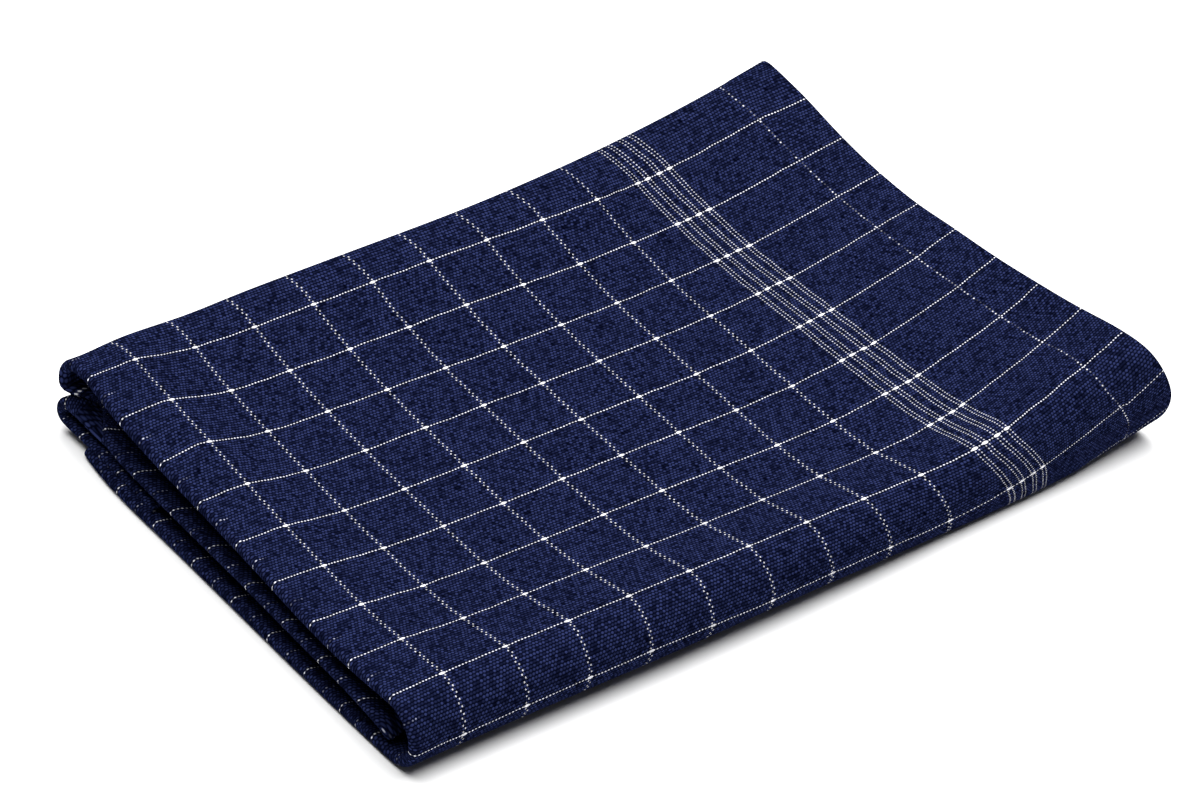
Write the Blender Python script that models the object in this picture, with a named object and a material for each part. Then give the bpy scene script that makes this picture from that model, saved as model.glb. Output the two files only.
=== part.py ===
"""Folded tea towel: one hemmed panel of plain-weave cotton, 50 x 75 cm.

The panel is folded in half across its width, so each layer is two plies that are joined by a
round lip at -X and end in two hems at +X. The doubled strip is then folded back and forth
along its length. Seen from the lips, the section runs from the free end of the bottom layer,
round the big front fold, over the top, round the back roll, and on through the second and
third layers to a short tail. It rests on Z = 0; all sizes are in metres.
"""

import math
from collections import namedtuple

import bmesh
import bpy
import numpy as np
from mathutils import Vector

# The cloth
HALF_WIDTH = 0.250  # from the lip to the hemmed edge, half of the panel's width
PLY = 0.0011  # thickness of one ply, with its crimp
HEM_PLY = 0.0017  # the same at a hem, where the cloth is turned twice
HEM_WIDTH = 0.015
HEM_STEP = 0.004  # the thickness grows over this distance at the hem's inner edge
SLIT = 0.0004  # space between the two plies of a layer
CHECK = 0.01925  # one check of the weave; the folds are spaced by it

# The top layer's upper face, above the floor
MIDDLE_HEIGHT = 0.0160
SWELL_START = 1.5 * CHECK  # the face is flat this far to each side of its middle line
SWELL_REACH = 4.0 * CHECK  # and has risen by the swell here
OVER_REACH = 1.1  # the rise goes on this far past the reach, then stays level
FRONT_SWELL = 0.0066
BACK_SWELL = 0.0058
LIP_REACH = 2.7 * CHECK  # the lips curl up within this distance of their edge
HEM_REACH = 4.0 * CHECK  # the hems rise over this distance from their edge
HEM_RISE_POWER = 1.6

# How far an edge stands above the middle of the face: front, middle, back
LIP_LIFT = (0.0000, 0.0062, 0.0058)
HEM_LIFT = (0.0148, 0.0085, 0.0042)

# The stacked layers. A height is a share of the way from the bottom layer to the top one, at the
# (front, back). A lip is set back from the stack's edge, and the reach is the way to the hems.
Layer = namedtuple("Layer", "at_lips middle at_hems setback reach")
LAYERS = {
    "bottom": Layer((0.00, 0.00), (0.00, 0.00), (0.00, 0.00), -0.0010, 0.2450),
    "top": Layer((1.00, 1.00), (1.00, 1.00), (1.00, 1.00), 0.0000, 0.2475),
    "second": Layer((0.38, 0.62), (0.66, 0.72), (0.66, 0.72), 0.0000, 0.2440),
    "third": Layer((0.14, 0.47), (0.36, 0.46), (0.36, 0.47), 0.0000, 0.2430),
    "tail": Layer((0.13, 0.13), (0.23, 0.23), (0.24, 0.24), 0.0030, 0.2420),
}

# The folds. y: the line that the turn starts and ends at, by (lips, middle, hems); depth: how
# deep the turn is, over half its height; setback and reach: at the (start, middle, end) of it
Fold = namedtuple("Fold", "joins y depth setback reach")
FOLDS = {
    "front": Fold(
        ("bottom", "top"), (-0.0775, -0.0771, -0.0625), 1.00,
        (-0.0010, 0.0000, 0.0000), (0.2530, 0.2570, 0.2490),
    ),
    "back roll": Fold(
        ("top", "second"), (0.0785, 0.0888, 0.1013), 1.20,
        (0.0000, -0.0015, 0.0048), (0.2490, 0.2495, 0.2460),
    ),
    "nose": Fold(
        ("second", "third"), (-0.0715, -0.0700, -0.0540), 1.15,
        (0.0000, 0.0005, 0.0005), (0.2440, 0.2440, 0.2440),
    ),
    "second roll": Fold(
        ("third", "tail"), (0.0825, 0.0868, 0.0975), 1.15,
        (0.0000, -0.0015, 0.0010), (0.2430, 0.2430, 0.2430),
    ),
}
FREE_END = (0.0740, 0.0770, 0.0860)  # the bottom layer's hemmed end: at the lips, middle, hems
TAIL_END = (0.0400, 0.0420, 0.0500)  # the inner end, under the third layer

# The strip's run, with the steps that each layer and fold is made in
RUN = (
    ("bottom", 8),
    ("front", 9),
    ("top", 12),
    ("back roll", 7),
    ("second", 9),
    ("nose", 6),
    ("third", 9),
    ("second roll", 7),
    ("tail", 3),
)
EDGE_RUN = 0.12  # a layer's edge leaves its fold's place over this share of the layer

# Places across the strip, from the lip to the hemmed edge
LIP_STEPS = 4  # round the lip, from one ply to the other
ACROSS = (0.006, 0.016, 0.030, 0.048, 0.080, 0.120, 0.160, 0.185, 0.208, 0.226, 0.237, 0.250)

# How far the lips wander from a straight line, and the two waves of it, in radians a step
WANDER = 0.0006
WANDER_WAVES = (0.9, 0.23)


def three_point(values, y):
    """A smooth curve through the values at the front, the middle and the back."""
    front, middle, back = values
    t = np.clip(np.asarray(y) / SWELL_REACH, -OVER_REACH, OVER_REACH)
    return middle + t * (back - front) / 2 + t * t * ((front + back) / 2 - middle)


def lip_share(x):
    """1 at the lips, fading to 0 towards the middle."""
    return max(0.0, 1.0 - x / LIP_REACH) ** 2


def hem_share(x):
    """1 at the hems, fading to 0 towards the middle."""
    return max(0.0, 1.0 - (HALF_WIDTH - x) / HEM_REACH) ** HEM_RISE_POWER


def ply_thickness(x):
    grown = np.clip((x - (HALF_WIDTH - HEM_WIDTH)) / HEM_STEP, 0.0, 1.0)
    return PLY + (HEM_PLY - PLY) * grown


def half_layer(x):
    """From the middle of a layer to its outer face."""
    return ply_thickness(x) + SLIT / 2


def top_height(x, y):
    """The middle of the top layer, above the floor."""
    over = np.maximum(0.0, np.abs(y) - SWELL_START) / (SWELL_REACH - SWELL_START)
    over = np.minimum(over, OVER_REACH) ** 2
    swell = np.where(np.asarray(y) < 0, FRONT_SWELL, BACK_SWELL) * over
    edges = lip_share(x) * three_point(LIP_LIFT, y) + hem_share(x) * three_point(HEM_LIFT, y)
    return MIDDLE_HEIGHT + swell + edges - half_layer(x)


def layer_height(name, x, y):
    """The middle of a layer, above the floor."""
    layer = LAYERS[name]
    toward_back = np.clip(np.asarray(y) / (2 * SWELL_REACH) + 0.5, 0.0, 1.0)
    lips, middle, hems = (
        front + (back - front) * toward_back
        for front, back in (layer.at_lips, layer.middle, layer.at_hems)
    )
    share = middle + (lips - middle) * lip_share(x) + (hems - middle) * hem_share(x)
    low = half_layer(x)
    return low + share * (top_height(x, y) - low)


def line_across(places, x):
    """A line that runs across the strip, by its y at the lips, in the middle and at the hems."""
    at_lips, middle, at_hems = places
    return middle + (at_lips - middle) * lip_share(x) + (at_hems - middle) * (x / HALF_WIDTH) ** 3


def neighbours(index):
    """The folds before and after a layer of the run, or None at the strip's ends."""
    before = RUN[index - 1][0] if index > 0 else None
    after = RUN[index + 1][0] if index + 1 < len(RUN) else None
    return before, after


def own_steps(before, after, steps):
    """A layer's places from 0 to 1, without the ends that its folds already hold."""
    places = np.arange(steps + 1) / steps
    if before:
        places = places[1:]
    if after:
        places = places[:-1]
    return places


def layer_run(name, x, places, before, after):
    """Points along one layer."""
    y_start = line_across(FOLDS[before].y if before else FREE_END, x)
    y_end = line_across(FOLDS[after].y if after else TAIL_END, x)
    y = y_start + (y_end - y_start) * places
    return np.stack([y, layer_height(name, x, y)], axis=1)


def fold_run(name, x, places):
    """Points round one fold: half an oval between the heights of the layers it joins."""
    fold = FOLDS[name]
    y = line_across(fold.y, x)
    z_before, z_after = (float(layer_height(layer, x, y)) for layer in fold.joins)
    outward = -1.0 if y < 0 else 1.0
    deep = outward * fold.depth * abs(z_after - z_before) / 2
    centre = (z_before + z_after) / 2
    turn = np.pi * places
    return np.stack([y + deep * np.sin(turn), centre + (z_before - centre) * np.cos(turn)], axis=1)


def eased(values):
    """The same line with its corners a little rounded."""
    mean = (values[:-2] + values[2:]) / 2
    return np.concatenate([values[:1], (values[1:-1] + mean) / 2, values[-1:]])


def section(x):
    """The whole strip's section at one place between the lips and the hems."""
    runs = []
    for index, (name, steps) in enumerate(RUN):
        if name in FOLDS:
            runs.append(fold_run(name, x, np.arange(steps + 1) / steps))
            continue
        before, after = neighbours(index)
        runs.append(layer_run(name, x, own_steps(before, after, steps), before, after))
    points = eased(np.concatenate(runs))
    points[:, 1] = np.maximum(points[:, 1], half_layer(x))
    return points


def edge_line(size):
    """The set back or the reach of the strip's edge, along the run."""
    line = []
    for index, (name, steps) in enumerate(RUN):
        if name in FOLDS:
            places = np.arange(steps + 1) / steps
            line.append(np.interp(places, (0.0, 0.5, 1.0), getattr(FOLDS[name], size)))
            continue
        before, after = neighbours(index)
        middle = getattr(LAYERS[name], size)
        first = getattr(FOLDS[before], size)[2] if before else middle
        last = getattr(FOLDS[after], size)[0] if after else middle
        marks = (0.0, EDGE_RUN, 1.0 - EDGE_RUN, 1.0)
        line.append(np.interp(own_steps(before, after, steps), marks, (first, middle, middle, last)))
    return eased(np.concatenate(line))


def column_points(x, side, lip_across, setback, reach):
    """The strip's points at one place across it: side is -1 on the lower ply, 1 on the upper."""
    points = section(x)
    along = np.gradient(points, axis=0)
    along /= np.linalg.norm(along, axis=1)[:, None]
    outward = np.stack([along[:, 1], -along[:, 0]], axis=1)
    placed = points + outward * side * (ply_thickness(x) + SLIT) / 2
    toward_hem = x / HALF_WIDTH
    xs = x + lip_across + setback * (1.0 - toward_hem) + (reach - HALF_WIDTH) * toward_hem**3
    return np.column_stack([xs, placed])


def strip_points():
    """Columns of points across both plies: lower hem, lip, upper hem; and each one's x."""
    reach = edge_line("reach")
    step = np.arange(len(reach))
    first_wave, second_wave = WANDER_WAVES
    setback = edge_line("setback")
    setback += WANDER * np.sin(step * first_wave) * np.cos(step * second_wave)
    lower = [(x, -1.0, 0.0) for x in reversed(ACROSS)]
    lip = []
    for k in range(LIP_STEPS + 1):
        turn = math.pi * (k / LIP_STEPS - 0.5)
        lip.append((0.0, math.sin(turn), (PLY + SLIT) / 2 * (1.0 - math.cos(turn))))
    upper = [(x, 1.0, 0.0) for x in ACROSS]
    places = lower + lip + upper
    columns = [column_points(*place, setback, reach) for place in places]
    return np.array(columns), [x for x, _, _ in places]


def build_towel():
    columns, places = strip_points()
    shape = bmesh.new()
    grid = [[shape.verts.new(point) for point in column] for column in columns]
    for left, right in zip(grid[:-1], grid[1:]):
        for k in range(len(left) - 1):
            shape.faces.new((left[k], right[k], right[k + 1], left[k + 1]))
    mesh = bpy.data.meshes.new("towel")
    shape.to_mesh(mesh)
    shape.free()
    towel = bpy.data.objects.new("towel", mesh)
    bpy.context.scene.collection.objects.link(towel)

    thickness = towel.vertex_groups.new(name="ply thickness")
    per_column = columns.shape[1]
    for index, x in enumerate(places):
        own = range(index * per_column, (index + 1) * per_column)
        thickness.add(own, float(ply_thickness(x)) / HEM_PLY, "REPLACE")
    ply = towel.modifiers.new("ply", "SOLIDIFY")
    ply.thickness = HEM_PLY
    ply.offset = 0.0
    ply.vertex_group = thickness.name
    ply.use_even_offset = False
    mesh.shade_smooth()
    return towel


def centre_on_floor(towel):
    """Puts the middle of the resting box at the origin."""
    bpy.context.view_layer.update()
    shown = towel.evaluated_get(bpy.context.evaluated_depsgraph_get())
    corners = np.array([v.co for v in shown.data.vertices])
    low = corners.min(axis=0)
    high = corners.max(axis=0)
    middle = Vector(((low[0] + high[0]) / 2, (low[1] + high[1]) / 2, low[2]))
    for vertex in towel.data.vertices:
        vertex.co -= middle


def cotton():
    material = bpy.data.materials.new("navy cotton")
    material.use_nodes = True
    shader = material.node_tree.nodes["Principled BSDF"]
    shader.inputs["Base Color"].default_value = (0.012, 0.020, 0.085, 1.0)
    shader.inputs["Roughness"].default_value = 0.9
    shader.inputs["Metallic"].default_value = 0.0
    return material


def main():
    for leftover in list(bpy.data.objects):
        bpy.data.objects.remove(leftover, do_unlink=True)
    towel = build_towel()
    towel.data.materials.append(cotton())
    centre_on_floor(towel)


main()
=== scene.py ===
"""Looks of the folded tea towel: the checked cotton itself, a pale floor, soft light, a camera."""

import math
from collections import namedtuple

import bpy
import numpy as np
from mathutils import Matrix, Vector


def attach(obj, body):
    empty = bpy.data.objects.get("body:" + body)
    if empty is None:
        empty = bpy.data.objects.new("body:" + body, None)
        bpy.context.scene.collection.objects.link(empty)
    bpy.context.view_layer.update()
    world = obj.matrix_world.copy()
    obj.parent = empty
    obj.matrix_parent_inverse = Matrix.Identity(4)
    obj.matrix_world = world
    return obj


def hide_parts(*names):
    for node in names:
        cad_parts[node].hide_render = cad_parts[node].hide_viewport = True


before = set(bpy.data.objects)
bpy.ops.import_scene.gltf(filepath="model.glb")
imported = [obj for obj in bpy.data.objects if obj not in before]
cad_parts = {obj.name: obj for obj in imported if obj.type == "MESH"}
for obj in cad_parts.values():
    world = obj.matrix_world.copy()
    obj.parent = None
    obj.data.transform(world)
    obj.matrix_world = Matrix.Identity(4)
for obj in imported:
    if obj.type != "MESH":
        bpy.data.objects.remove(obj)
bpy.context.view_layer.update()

# ---------------------------------------------------------------------------------------------
# The cloth and its folds, in metres: the solid's sizes, with a few set anew at the lips and hems
# ---------------------------------------------------------------------------------------------
HALF_WIDTH = 0.250  # from the lip to the hemmed edge, half of the panel's width
PLY = 0.0011  # thickness of one ply, with its crimp
HEM_PLY = 0.0017  # the same at a hem, where the cloth is turned twice
HEM_WIDTH = 0.015
HEM_STEP = 0.0012  # the thickness grows over this distance at the hem's inner edge
SLIT = 0.0004  # space between the two plies of a layer
LIP_SLIT = 0.0013  # the plies part this much where the cloth turns round at a lip
LIP_BULB = 0.0055  # and close again over this distance
LIP_RADIUS = (PLY + LIP_SLIT) / 2
CHECK = 0.01925  # one check of the weave
STRIP_TO_BOX = (-0.127237, -0.009190, 0.0)  # from the strip's own place to the middle of the box

# The top layer's upper face, above the floor
MIDDLE_HEIGHT = 0.0160
SWELL_START = 1.5 * CHECK  # the face is flat this far to each side of its middle line
SWELL_REACH = 4.0 * CHECK  # and has risen by the swell here
OVER_REACH = 1.1  # the rise goes on this far past the reach, then stays level
FRONT_SWELL = 0.0066
BACK_SWELL = 0.0058
LIP_REACH = 2.7 * CHECK  # the lips curl up within this distance of their edge
HEM_REACH = 4.0 * CHECK  # the hems rise over this distance from their edge
HEM_RISE_POWER = 1.6

# How far an edge stands above the middle of the face: front, middle, back
LIP_LIFT = (0.0000, 0.0062, 0.0058)
HEM_LIFT = (0.0148, 0.0085, 0.0042)

# The stacked layers. A height is a share of the way from the bottom layer to the top one, at the
# (front, back). The reach is the way to the hems.
Layer = namedtuple("Layer", "at_lips middle at_hems reach")
LAYERS = {
    "bottom": Layer((0.00, 0.00), (0.00, 0.00), (0.00, 0.00), 0.2450),
    "top": Layer((1.00, 1.00), (1.00, 1.00), (1.00, 1.00), 0.2475),
    "second": Layer((0.38, 0.62), (0.66, 0.72), (0.66, 0.72), 0.2440),
    "third": Layer((0.14, 0.47), (0.36, 0.46), (0.36, 0.47), 0.2430),
    "tail": Layer((0.10, 0.10), (0.23, 0.23), (0.24, 0.24), 0.2420),
}

# The folds. y: the line that the turn starts and ends at, by (lips, middle, hems); depth: how deep
# the turn is, over half its height; reach: at the (start, middle, end) of it; fullness: 1 for half
# an oval and less for a fuller turn, as (distance from the lips, first half, second half)
Fold = namedtuple("Fold", "joins y depth reach fullness")
FOLDS = {
    "front": Fold(
        ("bottom", "top"), (-0.0775, -0.0771, -0.0625), 1.00, (0.2530, 0.2570, 0.2490),
        (
            (0.0, 1.2, 1.0), (0.03, 1.45, 1.0), (0.11, 1.5, 1.0), (0.135, 1.25, 1.0),
            (0.155, 0.85, 1.0), (0.18, 0.40, 1.0), (0.205, 0.22, 1.0), (0.222, 0.30, 0.9),
            (0.240, 0.75, 0.6), (0.25, 1.1, 0.45),
        ),
    ),
    "back roll": Fold(
        ("top", "second"), (0.0812, 0.0888, 0.1013), 1.20, (0.2490, 0.2495, 0.2460),
        ((0.0, 1.0, 0.15), (0.03, 1.0, 0.4), (0.25, 1.0, 0.6)),
    ),
    "nose": Fold(
        ("second", "third"), (-0.0715, -0.0700, -0.0540), 1.15, (0.2440, 0.2440, 0.2440),
        ((0.0, 1.0, 1.0), (0.25, 1.0, 1.0)),
    ),
    "second roll": Fold(
        ("third", "tail"), (0.0848, 0.0868, 0.0975), 1.15, (0.2430, 0.2430, 0.2430),
        ((0.0, 0.6, 0.6), (0.25, 1.0, 1.0)),
    ),
}
FREE_END = (0.0740, 0.0770, 0.0860)  # the bottom layer's hemmed end: at the lips, middle, hems
TAIL_END = (0.0400, 0.0420, 0.0500)  # the inner end, under the third layer

# The strip's run, with the steps that each layer and fold is made in
RUN = (
    ("bottom", 34),
    ("front", 26),
    ("top", 62),
    ("back roll", 14),
    ("second", 54),
    ("nose", 12),
    ("third", 40),
    ("second roll", 14),
    ("tail", 9),
)
EDGE_RUN = 0.12  # a layer's hemmed edge leaves its fold's place over this share of the layer
EASE_PASSES = 6

# How far the lips are set back from the stack's edge: (share of the layer's or fold's run, how far)
SET_BACK = {
    "bottom": (
        (0.0, -0.0008), (0.03, -0.0018), (0.07, -0.0021), (0.16, -0.0024), (0.3, -0.0017),
        (0.5, -0.0013), (0.7, -0.0009), (0.88, -0.0003), (1.0, 0.0003),
    ),
    "front": ((0.0, 0.0003), (0.5, 0.0004), (1.0, 0.0)),
    "top": ((0.0, 0.0), (0.88, 0.0), (1.0, 0.0010)),
    "back roll": ((0.0, 0.0010), (0.5, 0.0), (0.88, 0.0), (0.95, 0.0020), (1.0, 0.0095)),
    "second": ((0.0, 0.0100), (0.04, 0.0100), (0.07, 0.0), (1.0, 0.0)),
    "nose": ((0.0, 0.0), (0.5, 0.0005), (1.0, 0.0030)),
    "third": ((0.0, 0.0025), (0.1, 0.0045), (0.8, 0.0045), (0.92, 0.0005), (1.0, 0.0)),
    "second roll": ((0.0, 0.0), (0.5, -0.0008), (1.0, 0.0)),
    "tail": ((0.0, 0.0), (0.12, 0.0005), (1.0, 0.0005)),
}
# Heights of the inner layers at their lips: (y, height of the layer's middle)
LIP_HEIGHTS = {
    "second": (
        (-0.080, 0.0088), (-0.070, 0.0094), (-0.058, 0.0104), (0.000, 0.0106), (0.025, 0.0101),
        (0.052, 0.0100), (0.062, 0.0104), (0.070, 0.0118), (0.076, 0.0132), (0.090, 0.0126),
    ),
    "third": (
        (-0.080, 0.0044), (-0.060, 0.0052), (-0.030, 0.0062), (0.000, 0.0064), (0.040, 0.0062),
        (0.058, 0.0066), (0.066, 0.0078), (0.074, 0.0104), (0.090, 0.0110),
    ),
}

# Places across the strip, from the lip to the hemmed edge: closer together at the lip, where it
# curls, and at the hem's step
LIP_STEPS = 8  # round the lip, from one ply to the other
ACROSS = np.concatenate([
    (0.0020, 0.0036, 0.0054, 0.0076, 0.0104),
    np.linspace(0.0138, 0.2300, 58),
    (0.2325, 0.2340, 0.2352, 0.2364, 0.2385, 0.2420, 0.2460, 0.2485, 0.2496, 0.2500),
])

# Soft ridges and troughs of the top layer: middle (x from the lips, y), half length and half
# width, the way that it runs (degrees from X), and its height
Swell = namedtuple("Swell", "x y length width turn height")
SWELLS = (
    Swell(0.0140, 0.0480, 0.034, 0.0120, 90.0, 0.0028),
    Swell(0.0000, 0.0900, 0.016, 0.0090, 0.0, -0.0042),
    Swell(0.0420, 0.0920, 0.014, 0.0120, 0.0, -0.0007),
    Swell(0.1400, 0.0920, 0.036, 0.0120, 0.0, -0.0008),
    Swell(0.2520, -0.0400, 0.022, 0.0090, 90.0, 0.0022),
    Swell(0.2520, 0.0400, 0.026, 0.0090, 90.0, -0.0006),
    Swell(0.2520, 0.0250, 0.009, 0.0090, 90.0, -0.0006),
)


def three_point(values, y):
    """A smooth curve through the values at the front, the middle and the back."""
    front, middle, back = values
    t = np.clip(np.asarray(y) / SWELL_REACH, -OVER_REACH, OVER_REACH)
    return middle + t * (back - front) / 2 + t * t * ((front + back) / 2 - middle)


def lip_share(x):
    """1 at the lips, fading to 0 towards the middle."""
    return np.maximum(0.0, 1.0 - x / LIP_REACH) ** 2


def hem_share(x):
    """1 at the hems, fading to 0 towards the middle."""
    return np.maximum(0.0, 1.0 - (HALF_WIDTH - x) / HEM_REACH) ** HEM_RISE_POWER


def ply_thickness(x):
    """One ply, thicker past the hem's inner edge."""
    grown = np.clip((x - (HALF_WIDTH - HEM_WIDTH)) / HEM_STEP, 0.0, 1.0)
    return PLY + (HEM_PLY - PLY) * grown


def slit(x):
    """The space between the two plies of a layer."""
    return SLIT + (LIP_SLIT - SLIT) * math.exp(-((x / LIP_BULB) ** 2))


def half_layer(x):
    """From the middle of a layer to its outer face."""
    return ply_thickness(x) + slit(x) / 2


def swell_height(x, y):
    """What the soft ridges and troughs add to the top layer."""
    total = np.zeros_like(np.asarray(y, dtype=float))
    for swell in SWELLS:
        turn = math.radians(swell.turn)
        along = (x - swell.x) * math.cos(turn) + (y - swell.y) * math.sin(turn)
        aside = (y - swell.y) * math.cos(turn) - (x - swell.x) * math.sin(turn)
        total += swell.height * np.exp(-((along / swell.length) ** 2) - (aside / swell.width) ** 2)
    return total


def top_height(x, y):
    """The middle of the top layer, above the floor."""
    over = np.maximum(0.0, np.abs(y) - SWELL_START) / (SWELL_REACH - SWELL_START)
    over = np.minimum(over, OVER_REACH) ** 2
    swell = np.where(np.asarray(y) < 0, FRONT_SWELL, BACK_SWELL) * over
    edges = lip_share(x) * three_point(LIP_LIFT, y) + hem_share(x) * three_point(HEM_LIFT, y)
    return MIDDLE_HEIGHT + swell + edges + swell_height(x, y) - half_layer(x)


def layer_height(name, x, y):
    """The middle of a layer, above the floor."""
    layer = LAYERS[name]
    toward_back = np.clip(np.asarray(y) / (2 * SWELL_REACH) + 0.5, 0.0, 1.0)
    lips, middle, hems = (
        front + (back - front) * toward_back
        for front, back in (layer.at_lips, layer.middle, layer.at_hems)
    )
    if name in LIP_HEIGHTS:
        lowest = half_layer(0.0)
        height = np.interp(y, *zip(*LIP_HEIGHTS[name]))
        lips = (height - lowest) / (top_height(0.0, y) - lowest)
    share = middle + (lips - middle) * lip_share(x) + (hems - middle) * hem_share(x)
    low = half_layer(x)
    return low + share * (top_height(x, y) - low)


def line_across(places, x):
    """A line that runs across the strip, by its y at the lips, in the middle and at the hems."""
    at_lips, middle, at_hems = places
    return middle + (at_lips - middle) * lip_share(x) + (at_hems - middle) * (x / HALF_WIDTH) ** 3


def neighbours(index):
    """The folds before and after a layer of the run, or None at the strip's ends."""
    before = RUN[index - 1][0] if index > 0 else None
    after = RUN[index + 1][0] if index + 1 < len(RUN) else None
    return before, after


def own_steps(before, after, steps):
    """A layer's places from 0 to 1, without the ends that its folds already hold."""
    places = np.arange(steps + 1) / steps
    if before:
        places = places[1:]
    if after:
        places = places[:-1]
    return places


def layer_run(name, x, places, before, after):
    """Points along one layer."""
    y_start = line_across(FOLDS[before].y if before else FREE_END, x)
    y_end = line_across(FOLDS[after].y if after else TAIL_END, x)
    y = y_start + (y_end - y_start) * places
    return np.stack([y, layer_height(name, x, y)], axis=1)


def fold_run(name, x, places):
    """Points round one fold: half an oval, or fuller, between the heights of its two layers."""
    fold = FOLDS[name]
    y = line_across(fold.y, x)
    z_before, z_after = (float(layer_height(layer, x, y)) for layer in fold.joins)
    outward = -1.0 if y < 0 else 1.0
    deep = outward * fold.depth * abs(z_after - z_before) / 2
    centre = (z_before + z_after) / 2
    turn = np.pi * places
    marks, first, last = zip(*fold.fullness)
    fullness = np.where(places < 0.5, np.interp(x, marks, first), np.interp(x, marks, last))
    bulge = np.maximum(np.sin(turn), 0.0) ** fullness
    return np.stack([y + deep * bulge, centre + (z_before - centre) * np.cos(turn)], axis=1)


def eased(values):
    """The same line with its corners rounded."""
    for _ in range(EASE_PASSES):
        mean = (values[:-2] + values[2:]) / 2
        values = np.concatenate([values[:1], (values[1:-1] + mean) / 2, values[-1:]])
    return values


def section(x):
    """The whole strip's section at one place between the lips and the hems."""
    runs = []
    for index, (name, steps) in enumerate(RUN):
        if name in FOLDS:
            runs.append(fold_run(name, x, np.arange(steps + 1) / steps))
            continue
        before, after = neighbours(index)
        runs.append(layer_run(name, x, own_steps(before, after, steps), before, after))
    points = eased(np.concatenate(runs))
    points[:, 1] = np.maximum(points[:, 1], half_layer(x))
    return points


def lip_line():
    """How far the strip's lips are set back, along the run."""
    line = []
    for index, (name, steps) in enumerate(RUN):
        before, after = (None, None) if name in FOLDS else neighbours(index)
        line.append(np.interp(own_steps(before, after, steps), *zip(*SET_BACK[name])))
    return eased(np.concatenate(line))


def hem_line():
    """How far the strip's hemmed edges reach, along the run."""
    line = []
    for index, (name, steps) in enumerate(RUN):
        if name in FOLDS:
            line.append(np.interp(own_steps(None, None, steps), (0.0, 0.5, 1.0), FOLDS[name].reach))
            continue
        before, after = neighbours(index)
        middle = LAYERS[name].reach
        first = FOLDS[before].reach[2] if before else middle
        last = FOLDS[after].reach[0] if after else middle
        marks = (0.0, EDGE_RUN, 1.0 - EDGE_RUN, 1.0)
        line.append(np.interp(own_steps(before, after, steps), marks, (first, middle, middle, last)))
    return eased(np.concatenate(line))


def place_in_run(name):
    """The first and last step of a layer or fold, in the whole run."""
    start = 0
    for index, (each, steps) in enumerate(RUN):
        count = steps + 1
        if each not in FOLDS:
            before, after = neighbours(index)
            count -= bool(before) + bool(after)
        if each == name:
            return start, start + count - 1
        start += count
    raise KeyError(name)


# ---------------------------------------------------------------------------------------------
# The panel: a flat grid that is folded point by point
# ---------------------------------------------------------------------------------------------
# How far the threads are drawn out of square, in mm, as measured where the photo's white lines
# cross. A row of a table is a place along the strip, from the back of the top layer to the foot of
# the front fold; a column is a place from the lip.
DRIFT_ALONG = (97.0, 82.0, 57.75, 38.5, 0.0, -38.5, -57.75, -77.0, -96.25)
DRIFT_ACROSS = (0.0, 16.4, 35.6, 74.1, 112.6, 151.1, 170.4, 188.0, 200.9, 235.0, 250.0)
COLUMN_DRIFT = (
    (0.0, 1.8, 1.0, 0.0, 0.3, -0.2, -0.2, 3.9, 4.6, 3.1, 2.0),
    (0.0, 0.2, 0.2, -0.6, -1.1, -1.4, -1.3, 2.6, 3.4, 2.2, 1.1),
    (0.0, -1.0, -0.7, -0.8, -1.3, -1.3, -1.3, 1.0, 1.9, 1.3, 0.6),
    (0.0, -1.1, -0.9, -0.7, -0.7, -0.9, -1.2, 0.0, 1.3, 1.2, 0.4),
    (0.0, -0.8, 0.0, -0.1, -0.4, -0.9, -1.2, -1.6, -0.6, 0.9, 0.3),
    (0.0, -0.7, -0.2, -0.2, -0.8, -0.8, -1.1, -2.9, -2.1, -0.4, 0.0),
    (0.0, -1.1, -0.6, -0.9, -0.5, -0.8, -0.8, -2.6, -2.1, -0.5, 0.0),
    (0.0, -0.3, -0.9, -1.6, -2.1, -2.3, -2.5, -3.7, -3.1, 1.9, 0.0),
    (0.0, 1.0, 0.1, -0.6, -2.2, -3.8, -5.1, -9.4, -11.6, -3.2, 0.0),
)
ROW_DRIFT = (
    (2.0, -1.0, -1.6, -2.2, -3.1, -3.4, -3.4, -3.6, -4.5, -7.9, -8.1),
    (3.1, 0.3, 0.3, 0.0, -0.5, -0.3, -0.1, -0.3, -1.2, -4.6, -4.4),
    (1.6, -0.6, -0.6, -0.2, -0.4, 0.3, -0.2, -0.5, -1.0, -4.0, -5.6),
    (3.1, -0.3, -0.8, -0.3, 0.2, 0.2, -0.6, -1.3, -1.6, -4.5, -6.0),
    (3.3, 0.4, 0.5, 0.7, 0.3, 0.2, -0.6, -1.9, -2.5, -6.1, -9.4),
    (1.1, -0.7, 0.0, 0.3, -0.2, 0.1, -0.5, -1.9, -2.3, -7.0, -8.3),
    (0.4, -1.3, -0.3, -0.2, 0.8, 0.6, 0.2, -0.6, -1.6, -8.1, -10.0),
    (0.6, -0.1, -0.4, -0.4, -0.9, -1.8, -2.5, -3.1, -4.4, -11.3, -15.2),
    (-1.3, -1.1, -2.0, -3.3, -3.4, -6.2, -7.1, -8.8, -11.0, -20.9, -24.8),
)
# The hidden layers' rows, at their lips: (checks along the strip, how far the row lies on)
LIP_DRIFT = (
    (-13.6, -0.30), (-12.9, -0.41), (-11.6, -0.36), (-9.6, -0.38), (-7.8, -0.22), (-6.9, -0.11),
    (-6.2, 0.18), (-5.2, 0.0), (4.6, 0.0), (5.4, -0.42), (6.0, 0.80), (8.49, 0.77), (10.41, 0.82),
    (12.28, 0.98), (21.0, 0.80), (21.5, 0.10),
)
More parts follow.
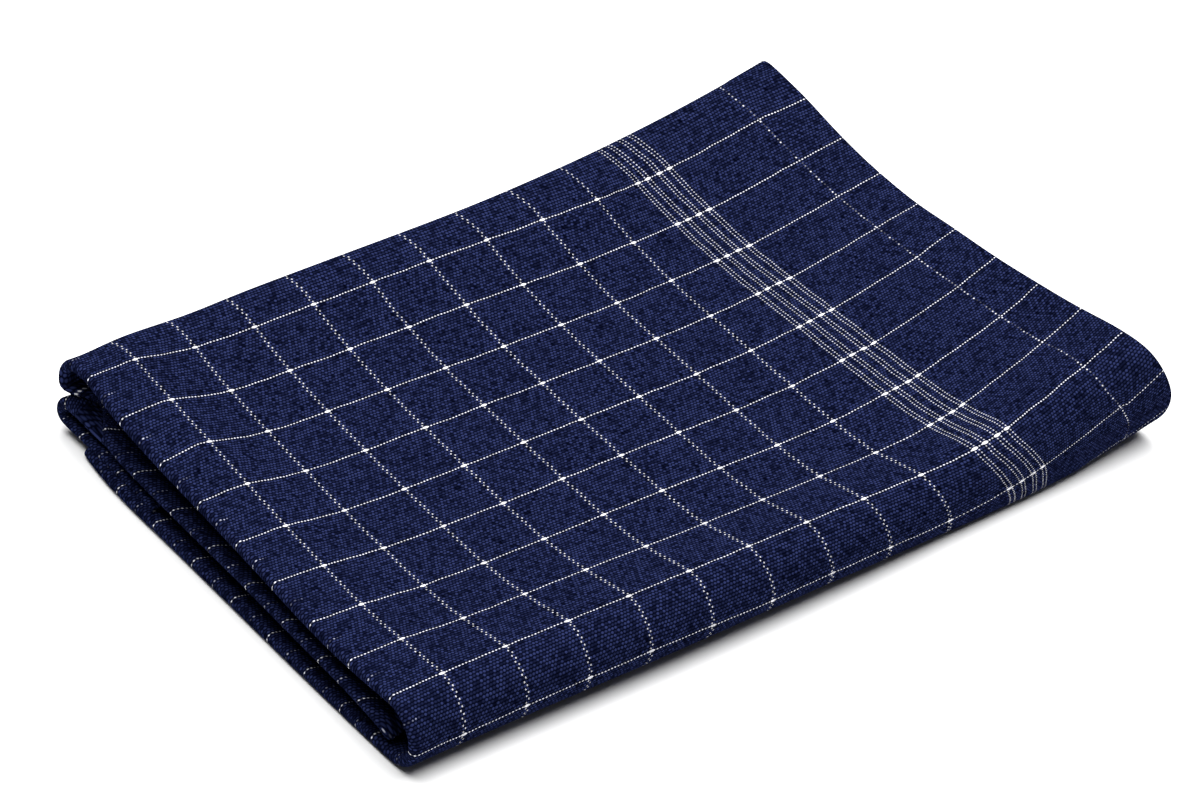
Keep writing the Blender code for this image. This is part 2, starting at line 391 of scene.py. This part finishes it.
# Past the back roll the strip runs the other way, so the roll's slant shifts its rows twice over.
# That begins at a place along the strip that the roll hides, the slant further on, and is spread
# over the ease and three times the slant.
HIDDEN_START = 0.096
HIDDEN_EASE = 0.012
SLANT_EASE = 3.0
SLANT_SHIFT = 2.0


def drawn(table, across, along):
    """The drift at points of the flat cloth, in metres, from one of the two tables."""
    rows = np.array(table)[::-1] / 1000.0
    row_places = np.array(DRIFT_ALONG)[::-1] / 1000.0
    column_places = np.array(DRIFT_ACROSS) / 1000.0
    i = np.clip(np.searchsorted(row_places, along) - 1, 0, len(row_places) - 2)
    j = np.clip(np.searchsorted(column_places, across) - 1, 0, len(column_places) - 2)
    down = np.clip((along - row_places[i]) / (row_places[i + 1] - row_places[i]), 0.0, 1.0)
    over = np.clip((across - column_places[j]) / (column_places[j + 1] - column_places[j]), 0.0, 1.0)
    near_row = rows[i, j] * (1.0 - over) + rows[i, j + 1] * over
    far_row = rows[i + 1, j] * (1.0 - over) + rows[i + 1, j + 1] * over
    return near_row * (1.0 - down) + far_row * down


def thread_places(flat):
    """Where each point lies among the threads: its flat place with the drift added."""
    side = np.sign(flat[..., 0])
    across = np.abs(flat[..., 0])
    along = flat[..., 1]
    checks, shares = zip(*LIP_DRIFT)
    slant = line_across(FOLDS["back roll"].y, across) - FOLDS["back roll"].y[0]
    past_middle = np.where(along > 0.0, along - slant, along)
    on_lips = np.interp(past_middle / CHECK, checks, shares) * CHECK
    ease = HIDDEN_EASE + SLANT_EASE * np.abs(slant)
    past_roll = np.clip((along - HIDDEN_START - slant) / ease, 0.0, 1.0)
    on_lips = on_lips - SLANT_SHIFT * past_roll * slant
    return np.stack([
        side * (across + drawn(COLUMN_DRIFT, across, along)),
        along + drawn(ROW_DRIFT, across, along) + on_lips,
    ], axis=-1)


def stations():
    """Places across the panel, from the outer ply's hem round the lip to the inner ply's hem:
    x from the lip, side of the layer, how far round the lip, and the flat place."""
    flat_extra = LIP_RADIUS * (math.pi / 2 - 1.0)
    places = [(x, -1.0, 0.0, -(x + flat_extra)) for x in ACROSS[::-1]]
    for k in range(LIP_STEPS + 1):
        turn = math.pi * (k / LIP_STEPS - 0.5)
        places.append((0.0, math.sin(turn), LIP_RADIUS * (1.0 - math.cos(turn)), LIP_RADIUS * turn))
    places += [(x, 1.0, 0.0, x + flat_extra) for x in ACROSS]
    return places


def along_run(points):
    """Flat distance along the strip, from the top layer's middle line."""
    steps = np.linalg.norm(np.diff(points, axis=0), axis=1)
    distance = np.concatenate([[0.0], np.cumsum(steps)])
    first, last = place_in_run("top")
    zero = np.interp(0.0, points[first:last, 0], distance[first:last])
    return distance - zero


def fold_panel():
    """Points of the folded panel, and their places in the flat cloth."""
    set_back = lip_line()
    reach = hem_line()
    points, flat = [], []
    for x, side, lip_across, flat_x in stations():
        middle = section(x)
        along = np.gradient(middle, axis=0)
        along /= np.linalg.norm(along, axis=1)[:, None]
        outward = np.stack([along[:, 1], -along[:, 0]], axis=1)
        placed = middle + outward * side * (ply_thickness(x) + slit(x)) / 2
        toward_hem = x / HALF_WIDTH
        xs = x + lip_across + set_back * (1.0 - toward_hem) + (reach - HALF_WIDTH) * toward_hem**3
        points.append(np.column_stack([xs, placed]) + STRIP_TO_BOX)
        outer = middle - outward * (PLY + SLIT) / 2
        flat.append(np.column_stack([np.full(len(xs), flat_x), along_run(outer)]))
    return np.array(points), thread_places(np.array(flat))


SMOOTH_ANGLE = 50  # degrees: only the cut edges of the plies stay sharp


def make_towel():
    """The panel's grid, laid on its folded places and thickened to plies."""
    points, flat = fold_panel()
    across, along = points.shape[:2]
    bpy.ops.object.select_all(action="DESELECT")
    bpy.ops.mesh.primitive_grid_add(x_subdivisions=across - 1, y_subdivisions=along - 1, size=1.0)
    towel = bpy.context.object
    towel.name = "folded_cloth"
    mesh = towel.data
    corners = np.empty(len(mesh.vertices) * 3)
    mesh.vertices.foreach_get("co", corners)
    corners = corners.reshape(-1, 3)
    column = np.rint((corners[:, 0] + 0.5) * (across - 1)).astype(int)
    step = np.rint((corners[:, 1] + 0.5) * (along - 1)).astype(int)
    mesh.vertices.foreach_set("co", points[column, step].ravel())

    layer = mesh.uv_layers[0]
    layer.name = "cloth"
    owners = np.empty(len(mesh.loops), dtype=np.int32)
    mesh.loops.foreach_get("vertex_index", owners)
    layer.uv.foreach_set("vector", flat[column, step][owners].astype(np.float32).ravel())
    mesh.update()

    share = towel.vertex_groups.new(name="ply thickness")
    for index, (x, *_) in enumerate(stations()):
        own = np.nonzero(column == index)[0].tolist()
        share.add(own, float(ply_thickness(x)) / HEM_PLY, "REPLACE")
    ply = towel.modifiers.new("ply", "SOLIDIFY")
    ply.thickness = HEM_PLY
    ply.offset = 0.0
    ply.vertex_group = share.name
    bpy.ops.object.modifier_apply(modifier=ply.name)
    bpy.ops.object.shade_smooth_by_angle(angle=math.radians(SMOOTH_ANGLE))
    return towel


# ---------------------------------------------------------------------------------------------
# The woven cotton
# ---------------------------------------------------------------------------------------------
WARPS = 38  # warp threads to a check
WEFTS = 19  # weft threads to a check: these are twice as thick
WARP = CHECK / WARPS  # from one warp thread to the next, across the checks
WEFT = CHECK / WEFTS
FAR_SIDE = 1000.0  # added to thread numbers to keep them above zero
CHECKS_BELOW = 50  # whole checks that are left of that when a place in its check is worked out
CHECKS_BEFORE = 10  # the same for the columns, which are counted from the first one

# Where the white threads lie
FIRST_LINE = 0.01665  # the first white column, from the lip
LINE_COUNT = 9
LINE_ENDS = 6.0  # warps past the first and the last column, that still belong to them
BORDER = (339, 347, 356, 364)  # warps from the first column to each of the border's lines
COLUMN_THREADS = ((-0.65, 0.0), (0.65, 1.0))  # warps from the column's middle, and its turn
BORDER_THREADS = 1.35  # warps from a border line's middle to its two threads
HALF_CHECK = 9.0  # wefts
FLECK_REACH = 0.0048  # from the lip
HEM_STITCH = 0.2353  # the hem's seam, from the lip
STITCHES = 0.72  # to a weft
STITCH_STRAY = 0.5  # warps

# What shows of a thread, as an oval spot: half its size across the checks and along the strip, in
# warps, wefts or halves of a weft's bead, and how white it is
Spot = namedtuple("Spot", "half_across half_along white", defaults=(1.0,))
ROW_DOT = Spot(0.52, 0.44, 0.95)
ROW_THREAD = Spot(1.0, 0.42, 0.06)
COLUMN_BEAD = Spot(0.46, 0.29, 0.64)
BORDER_BEAD = Spot(0.50, 0.26, 0.56)
COLUMN_CROSSING = Spot(1.9, 1.0)
BORDER_CROSSING = Spot(2.3, 1.1)
FLECK = Spot(0.5, 0.5, 0.45)
STITCH = Spot(0.60, 0.24, 0.55)
FAINTEST_STITCH = 0.02
WHITE_LEAST = 0.62  # of its full white, and what each crown's own chance adds
WHITE_OWN = 0.55
RIM_STEEPNESS = 3.0  # of a white spot's rim, against a plain oval's

# The navy ground: the crown of a weft, lighter with a painted highlight; the warp between two
# crowns, darker partly by dye and partly by painted shade; and the gap between threads, painted
# shade
WEFT_CROWN = Spot(0.98, 1.0)
WARP_CROWN = Spot(0.62, 1.25)
NAVY_CROWN_WITH_HIGHLIGHT = (0.0212, 0.0290, 0.0930, 1.0)
NAVY_WARP_DYE_AND_SHADE = (0.0034, 0.0050, 0.0205, 1.0)
NAVY_GAP_SHADE = (0.0002, 0.0003, 0.0022, 1.0)
WHITE = (0.86, 0.86, 0.90, 1.0)

# How uneven the cloth is
STRAY_SCALE = 130.0  # threads wander over 1 m / 130
WARP_STRAY = 1.6  # warps
WEFT_STRAY = 0.8  # wefts
SLUB_SCALE = 210.0  # a thread's shade changes over 1 m / 210
SLUB_STEP = 5.3  # apart in the noise, from one thread to the next
PATCH_SCALE = 75.0
PATCH_ROUGHNESS = 0.62
ONWARDS_NOISE = 3.7  # other places in the same noise
WEFT_NOISE = 9.0

# How full a weft's crown is, which also sets how strongly its painted highlight shows: the least,
# what its own chance, the slubs and the patches add to it, and its range
CROWN_LEAST = 0.16
CROWN_OWN = 1.20
CROWN_SLUB = 0.8
CROWN_PATCH = 0.3
CROWN_RANGE = (0.04, 1.8)
WARP_FULLNESS = 1.4

# The relief: how high each thread stands, as a share of the whole
CROWN_RISE = 0.7
FULL_CROWN_RISE = 0.4
WARP_RISE = 0.35
WHITE_RISE = 0.5
RELIEF = 0.00022
RELIEF_STRENGTH = 0.7


class Finish:
    """One material's nodes, joined by short calls."""

    def __init__(self, name):
        self.material = bpy.data.materials.new(name)
        self.material.use_nodes = True
        self.tree = self.material.node_tree
        self.shader = self.tree.nodes["Principled BSDF"]

    def feed(self, socket, value):
        if isinstance(value, bpy.types.NodeSocket):
            self.tree.links.new(value, socket)
        else:
            socket.default_value = value

    def node(self, kind, **settings):
        node = self.tree.nodes.new(kind)
        for key, value in settings.items():
            setattr(node, key, value)
        return node

    def math(self, operation, *values):
        node = self.node("ShaderNodeMath", operation=operation)
        for socket, value in zip(node.inputs, values):
            self.feed(socket, value)
        return node.outputs[0]

    def chain(self, operation, values):
        total = values[0]
        for value in values[1:]:
            total = self.math(operation, total, value)
        return total

    def plus(self, *values):
        return self.chain("ADD", values)

    def times(self, *values):
        return self.chain("MULTIPLY", values)

    def largest(self, *values):
        return self.chain("MAXIMUM", values)

    def minus(self, first, second):
        return self.math("SUBTRACT", first, second)

    def mix(self, share, first, second):
        """A colour between two. The node's sockets for colours come after those for numbers."""
        node = self.node("ShaderNodeMix", data_type="RGBA")
        self.feed(node.inputs[0], share)
        self.feed(node.inputs[6], first)
        self.feed(node.inputs[7], second)
        return node.outputs[2]

    def vector(self, x, y, z=0.0):
        node = self.node("ShaderNodeCombineXYZ")
        for socket, value in zip(node.inputs, (x, y, z)):
            self.feed(socket, value)
        return node.outputs[0]

    def noise(self, place, scale, detail=2.0, roughness=0.5):
        node = self.node("ShaderNodeTexNoise")
        self.feed(node.inputs["Vector"], place)
        node.inputs["Scale"].default_value = scale
        node.inputs["Detail"].default_value = detail
        node.inputs["Roughness"].default_value = roughness
        return node.outputs[0]

    def chance(self, value):
        """A fixed random number for each whole number."""
        node = self.node("ShaderNodeTexWhiteNoise", noise_dimensions="1D")
        self.feed(node.inputs["W"], value)
        return node.outputs[0]

    def chance_at(self, place):
        """A fixed random number for each pair of whole numbers."""
        node = self.node("ShaderNodeTexWhiteNoise", noise_dimensions="2D")
        self.feed(node.inputs["Vector"], place)
        return node.outputs[0]

    def oval(self, spot, across, along):
        """1 in the middle of an oval spot, falling to 0 at its rim."""
        across = self.math("DIVIDE", across, spot.half_across)
        along = self.math("DIVIDE", along, spot.half_along)
        out = self.plus(self.times(across, across), self.times(along, along))
        return self.largest(self.minus(1.0, out), 0.0)

    def crisp(self, value):
        """The same spot with a narrow soft rim."""
        return self.math("MINIMUM", self.times(value, RIM_STEEPNESS), 1.0)


class WovenCotton(Finish):
    """Plain weave: fine warps under thick wefts, whose crowns show as staggered round beads."""

    def __init__(self):
        super().__init__("navy woven cotton")
        self.number_threads()
        self.find_columns()
        self.row = self.one_weft_in_each_check(0.0)
        navy, height = self.ground()
        white = self.largest(
            self.rows(), self.columns(), self.border(), self.crossings(), self.flecks(), self.seam()
        )
        white = self.times(white, self.plus(WHITE_LEAST, self.times(self.own, WHITE_OWN)))
        white = self.math("MINIMUM", white, 1.0)
        self.feed(self.shader.inputs["Base Color"], self.mix(white, navy, WHITE))
        self.raise_threads(self.plus(height, self.times(white, WHITE_RISE)))
        self.shader.inputs["Roughness"].default_value = 0.8
        self.shader.inputs["Specular IOR Level"].default_value = 0.0
        self.shader.inputs["Sheen Weight"].default_value = 0.006
        self.shader.inputs["Sheen Roughness"].default_value = 0.4
        self.shader.inputs["Sheen Tint"].default_value = (0.30, 0.40, 1.0, 1.0)

    def number_threads(self):
        """Thread numbers, drawn a little out of line, and the place on one bead of a weft."""
        self.place = self.node("ShaderNodeUVMap", uv_map="cloth").outputs[0]
        split = self.node("ShaderNodeSeparateXYZ")
        self.feed(split.inputs[0], self.place)
        from_lip, self.along = split.outputs[:2]
        self.across = self.math("ABSOLUTE", from_lip)

        sideways = self.minus(self.noise(self.place, STRAY_SCALE, 1.0), 0.5)
        turned = self.vector(self.along, from_lip, ONWARDS_NOISE)
        onwards = self.minus(self.noise(turned, STRAY_SCALE, 1.0), 0.5)
        warps = self.math("DIVIDE", self.minus(self.across, FIRST_LINE), WARP)
        self.warps = self.plus(warps, FAR_SIDE, self.times(sideways, WARP_STRAY))
        self.from_first = self.minus(self.warps, FAR_SIDE)
        wefts = self.math("DIVIDE", self.along, WEFT)
        self.wefts = self.plus(wefts, FAR_SIDE + 0.5, self.times(onwards, WEFT_STRAY))
        self.weft = self.math("FLOOR", self.wefts)

        # Both from -1 to 1: across the weft, and along its bead, which is two warps long and
        # starts one warp further on in every second weft
        self.aside = self.minus(self.times(self.math("FRACT", self.wefts), 2.0), 1.0)
        shifted = self.plus(self.minus(self.warps, self.math("MODULO", self.weft, 2.0)), 0.5)
        self.lengthwise = self.minus(self.math("MODULO", shifted, 2.0), 1.0)
        bead = self.math("FLOOR", self.times(shifted, 0.5))
        self.own = self.chance_at(self.vector(bead, self.weft))

    def find_columns(self):
        """Warps from the nearest column's middle, and 1 from the first column to the last one."""
        ahead = self.plus(self.from_first, WARPS * (CHECKS_BEFORE + 0.5))
        self.in_check = self.minus(self.math("MODULO", ahead, WARPS), WARPS / 2)
        past_first = self.math("GREATER_THAN", self.from_first, -LINE_ENDS)
        last = WARPS * (LINE_COUNT - 1)
        before_last = self.math("LESS_THAN", self.from_first, last + LINE_ENDS)
        self.has_columns = self.times(past_first, before_last)

    def one_weft_in_each_check(self, before):
        """1 on the white row's weft, or on the one that lies so many wefts before it."""
        from_row = self.minus(self.weft, FAR_SIDE - WEFTS * CHECKS_BELOW - before)
        return self.math("COMPARE", self.math("MODULO", from_row, WEFTS), 0.0, 0.5)

    def ground(self):
        """Crowns of the weft, and the warp that shows between them: colour and height. The colour
        holds
        painted light: a highlight painted on each weft crown, brightest at its middle, and shade
        painted on the warps and in the gaps between threads.
        """
        in_weft = (self.times(self.across, SLUB_SCALE), self.times(self.weft, SLUB_STEP), WEFT_NOISE)
        weft_slub = self.noise(self.vector(*in_weft), 1.0)
        warp = self.math("FLOOR", self.warps)
        in_warp = (self.times(warp, SLUB_STEP), self.times(self.along, SLUB_SCALE))
        warp_slub = self.noise(self.vector(*in_warp), 1.0)
        patch = self.noise(self.place, PATCH_SCALE, 3.0, PATCH_ROUGHNESS)
        crown = self.oval(WEFT_CROWN, self.lengthwise, self.aside)
        between = self.minus(1.0, self.math("ABSOLUTE", self.lengthwise))
        warp_crown = self.oval(WARP_CROWN, between, self.aside)

        slub = self.times(self.minus(weft_slub, 0.5), CROWN_SLUB)
        shade = self.times(self.minus(patch, 0.5), CROWN_PATCH)
        fullness = self.plus(self.times(self.own, CROWN_OWN), CROWN_LEAST, slub, shade)
        least, most = CROWN_RANGE
        fullness = self.math("MINIMUM", self.largest(fullness, least), most)
        warp_fullness = self.times(warp_slub, WARP_FULLNESS)
        # Painted light: the gaps are painted near black as shade, the warps darker partly as painted
        # shade, and each weft crown lighter towards its middle as a painted highlight
        navy = self.mix(self.times(warp_crown, warp_fullness), NAVY_GAP_SHADE, NAVY_WARP_DYE_AND_SHADE)
        navy = self.mix(self.times(crown, fullness), navy, NAVY_CROWN_WITH_HIGHLIGHT)
        crown_rise = self.plus(CROWN_RISE, self.times(fullness, FULL_CROWN_RISE))
        height = self.plus(self.times(crown, crown_rise), self.times(warp_crown, WARP_RISE))
        return navy, height

    def rows(self):
        """White rows: one thread, a dot at each crown."""
        dots = self.crisp(self.times(self.oval(ROW_DOT, self.lengthwise, self.aside), self.row))
        thread = self.times(self.oval(ROW_THREAD, 0.0, self.aside), self.row)
        return self.largest(self.times(dots, ROW_DOT.white), self.times(thread, ROW_THREAD.white))

    def columns(self):
        """White columns: two threads side by side, over and under by turns."""
        beads = []
        for side, turn in COLUMN_THREADS:
            lie = self.minus(self.math("MODULO", self.plus(self.wefts, turn + 0.5), 2.0), 1.0)
            beads.append(self.oval(COLUMN_BEAD, self.minus(self.in_check, side), lie))
        column = self.crisp(self.times(self.largest(*beads), self.has_columns))
        return self.times(column, COLUMN_BEAD.white)

    def border(self):
        """The border: four lines, each of two threads with a navy one between."""
        lie = self.times(self.aside, 0.5)
        beads = []
        for line in BORDER:
            off_line = self.math("ABSOLUTE", self.minus(self.from_first, line))
            beads.append(self.oval(BORDER_BEAD, self.minus(off_line, BORDER_THREADS), lie))
        return self.times(self.crisp(self.largest(*beads)), BORDER_BEAD.white)

    def crossings(self):
        """Solid spots where white crosses white."""
        on_column = self.oval(COLUMN_CROSSING, self.in_check, self.aside)
        spots = [self.times(on_column, self.has_columns)]
        for line in BORDER:
            spots.append(self.oval(BORDER_CROSSING, self.minus(self.from_first, line), self.aside))
        return self.crisp(self.times(self.largest(*spots), self.row))

    def flecks(self):
        """Short flecks at the lips, half-way between the rows."""
        half_row = self.one_weft_in_each_check(HALF_CHECK)
        at_lip = self.largest(self.minus(1.0, self.math("DIVIDE", self.across, FLECK_REACH)), 0.0)
        fleck = self.times(self.oval(FLECK, self.lengthwise, self.aside), half_row, at_lip)
        return self.times(self.crisp(fleck), self.times(self.own, FLECK.white))

    def seam(self):
        """The hem's seam: single stitches of uneven strength."""
        run = self.times(self.wefts, STITCHES)
        own = self.chance(self.math("FLOOR", run))
        off_seam = self.math("DIVIDE", self.minus(self.across, HEM_STITCH), WARP)
        off_seam = self.plus(off_seam, self.times(self.minus(own, 0.5), STITCH_STRAY))
        stitch = self.oval(STITCH, off_seam, self.minus(self.math("FRACT", run), 0.5))
        strength = self.plus(FAINTEST_STITCH, self.times(own, own, STITCH.white))
        return self.crisp(self.times(stitch, strength))

    def raise_threads(self, height):
        """The relief of the threads, a fifth of a millimetre deep."""
        bump = self.node("ShaderNodeBump")
        bump.inputs["Strength"].default_value = RELIEF_STRENGTH
        bump.inputs["Distance"].default_value = RELIEF
        self.feed(bump.inputs["Height"], height)
        self.feed(self.shader.inputs["Normal"], bump.outputs[0])


towel = make_towel()
towel.data.materials.clear()
towel.data.materials.append(WovenCotton().material)
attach(towel, "root")
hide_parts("towel")

# ---------------------------------------------------------------------------------------------
# Floor, light and camera
# ---------------------------------------------------------------------------------------------
FLOOR_SIZE = 24.0
FLOOR_WHITE = (0.93, 0.93, 0.93, 1.0)
ROOM_LIGHT = 0.06
LAMP_PLACE = (0.22, 0.06, 2.0)
LAMP_SIZE = 2.7
LAMP_POWER = 128.0


def make_floor():
    bpy.ops.object.select_all(action="DESELECT")
    bpy.ops.mesh.primitive_plane_add(size=FLOOR_SIZE, location=(0.0, 0.0, 0.0))
    floor = bpy.context.object
    floor.name = "floor"
    paper = Finish("white studio floor")
    paper.shader.inputs["Base Color"].default_value = FLOOR_WHITE
    paper.shader.inputs["Roughness"].default_value = 0.95
    paper.shader.inputs["Specular IOR Level"].default_value = 0.0
    floor.data.materials.append(paper.material)


def make_light():
    """An even white room and one wide soft lamp, aimed at the towel."""
    world = bpy.data.worlds.new("studio")
    bpy.context.scene.world = world
    world.use_nodes = True
    world.node_tree.nodes["Background"].inputs[0].default_value = (1.0, 1.0, 1.0, 1.0)
    world.node_tree.nodes["Background"].inputs[1].default_value = ROOM_LIGHT
    data = bpy.data.lights.new("overhead softbox", "AREA")
    data.size = LAMP_SIZE
    data.energy = LAMP_POWER
    lamp = bpy.data.objects.new("overhead softbox", data)
    bpy.context.scene.collection.objects.link(lamp)
    lamp.location = LAMP_PLACE
    lamp.rotation_euler = (-lamp.location).to_track_quat("-Z", "Y").to_euler()
    bpy.context.scene.view_settings.view_transform = "Standard"


# The camera: the way it looks, in degrees from +Y and below level, its roll, and what it looks at
VIEW_TURN = 36.159
VIEW_DOWN = 37.168
VIEW_ROLL = 2.579
VIEW_DISTANCE = 85.41 * CHECK
VIEW_TARGET = (-0.005552, -0.005032, 0.016)
LENS_PER_WIDTH = 5980.56 / 1200  # the lens over the sensor's width
SENSOR_WIDTH = 36.0


def make_camera():
    """The camera at the photo's angle, and level but for its small roll."""
    turn, down, roll = (math.radians(angle) for angle in (VIEW_TURN, VIEW_DOWN, VIEW_ROLL))
    ahead = Vector((
        math.sin(turn) * math.cos(down), math.cos(turn) * math.cos(down), -math.sin(down)
    ))
    level = Vector((math.cos(turn), -math.sin(turn), 0.0))
    upward = level.cross(ahead)
    right = math.cos(roll) * level + math.sin(roll) * upward
    up = -math.sin(roll) * level + math.cos(roll) * upward
    data = bpy.data.cameras.new("camera")
    data.sensor_width = SENSOR_WIDTH
    data.lens = LENS_PER_WIDTH * SENSOR_WIDTH
    data.clip_end = 100.0
    camera = bpy.data.objects.new("camera", data)
    bpy.context.scene.collection.objects.link(camera)
    place = Vector(VIEW_TARGET) - VIEW_DISTANCE * ahead
    turned = Matrix((right, up, -ahead)).transposed().to_4x4()
    camera.matrix_world = Matrix.Translation(place) @ turned
    bpy.context.scene.camera = camera


make_floor()
make_light()
make_camera()
